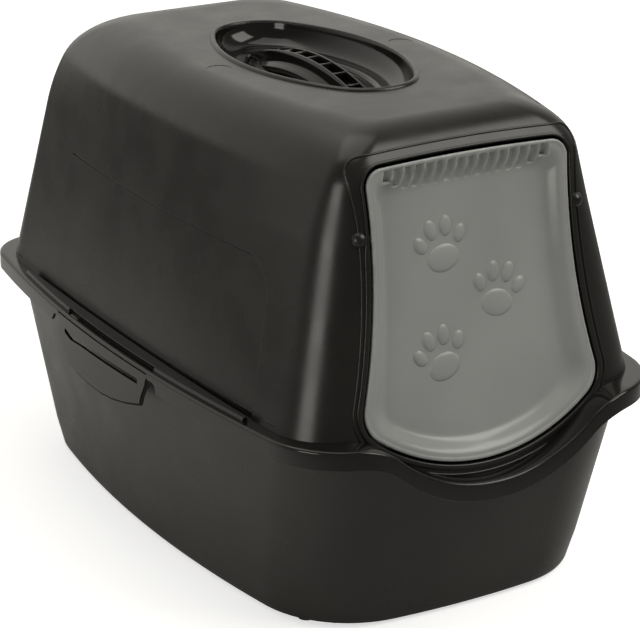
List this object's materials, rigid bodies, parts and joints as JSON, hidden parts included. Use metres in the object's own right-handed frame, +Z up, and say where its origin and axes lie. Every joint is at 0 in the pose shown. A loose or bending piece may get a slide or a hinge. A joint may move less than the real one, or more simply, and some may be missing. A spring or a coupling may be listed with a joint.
{
  "type": "hooded cat litter box",
  "caption": "Covered cat litter box: open tray, lift-off hood on a clipped rim frame, swinging smoked door flap, recessed carrying handle and side latches.",
  "frame": {"origin": "on the floor, under the middle of the rim's length and width", "axes": "+Z up, the door faces -Y, the latches are on the -X and +X sides"},
  "size_m": [0.352, 0.56, 0.376],
  "materials": {
    "tray_satin": "satin moulded plastic, warm black",
    "hood_satin": "satin moulded plastic, warm black",
    "rim_gloss": "polished moulded plastic, black",
    "handle_gloss": "high gloss moulded plastic, black",
    "flap_smoke": "smoked translucent plastic, glossy",
    "pin_black": "black plastic",
    "foot_rubber": "soft black rubber"
  },
  "bodies": {
    "tray": {"tray": "tray_satin", "foot_1": "foot_rubber", "foot_2": "foot_rubber", "foot_3": "foot_rubber", "foot_4": "foot_rubber", "foot_5": "foot_rubber", "foot_6": "foot_rubber", "foot_7": "foot_rubber", "foot_8": "foot_rubber"},
    "hood": {"hood": "hood_satin", "rim_frame": "rim_gloss", "handle": "handle_gloss", "pivot_pin_left": "pin_black", "pivot_pin_right": "pin_black"},
    "flap": {"door_flap": "flap_smoke"},
    "latch_left": {"latch_left": "rim_gloss"},
    "latch_right": {"latch_right": "rim_gloss"}
  },
  "joints": [
    {"name": "hood_lift", "type": "slide", "parent": "tray", "child": "hood", "axis": [0, 0, 1], "range_m": [0, 0.2]},
    {"name": "flap_swing", "type": "hinge", "parent": "hood", "child": "flap", "pos_m": [0, -0.23161, 0.303], "axis": [1, 0, 0], "range_deg": [-75, 75]},
    {"name": "latch_left_pull", "type": "hinge", "parent": "hood", "child": "latch_left", "pos_m": [-0.17335, 0.014, 0.161], "axis": [0, 1, 0], "range_deg": [0, 20]},
    {"name": "latch_right_pull", "type": "hinge", "parent": "hood", "child": "latch_right", "pos_m": [0.17335, 0.014, 0.161], "axis": [0, -1, 0], "range_deg": [0, 20]}
  ]
}
